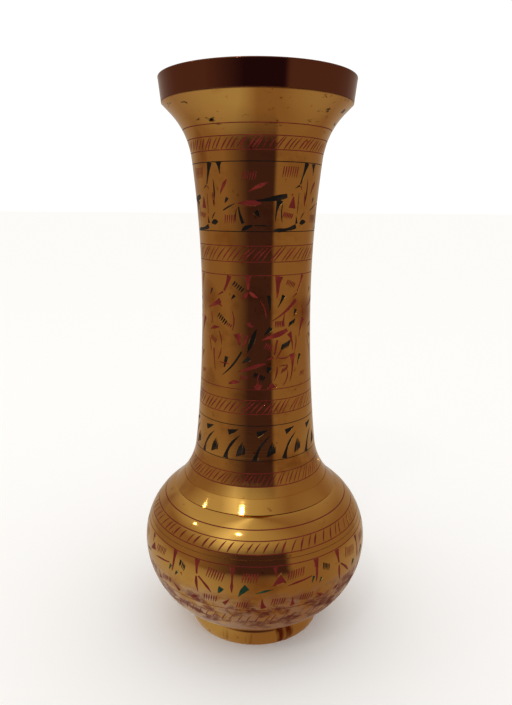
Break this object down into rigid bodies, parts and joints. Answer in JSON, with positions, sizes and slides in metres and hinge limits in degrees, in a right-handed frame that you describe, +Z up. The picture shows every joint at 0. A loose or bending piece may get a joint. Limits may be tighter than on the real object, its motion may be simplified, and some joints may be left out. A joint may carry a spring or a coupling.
{
  "type": "engraved brass flower vase",
  "caption": "Tall engraved brass flower vase with a flared, banded mouth, a long waisted neck, a round belly and a small foot ring; turned lines filled with coloured lac.",
  "frame": {"origin": "centre of the flat face that the foot ring stands on", "axes": "+Z up along the turning axis, from the foot to the mouth; the vase is the same all round, so X and Y are free"},
  "size_m": [0.0868, 0.0868, 0.204],
  "materials": {
    "brass": "turned and hand polished, tarnished to old gold-brown",
    "solder": "brazing spelter, darkened with dirt",
    "red_lac": "red lac melted into the cut lines and scraped level",
    "black_lac": "black lac melted into the cut lines and scraped level",
    "green_lac": "dark green lac melted into the cut lines and scraped level"
  },
  "bodies": {
    "root": {"foot_ring": "brass", "bowl": "brass", "shoulder": "brass", "neck": "brass", "mouth_rim": "brass", "foot_solder": "solder", "belly_solder": "solder", "neck_solder": "solder", "rim_solder": "solder", "red_lac_bowl_lines": "red_lac", "red_lac_neck_lines": "red_lac", "red_lac_shoulder_lines": "red_lac", "black_lac_neck_lines": "black_lac"}
  },
  "joints": []
}
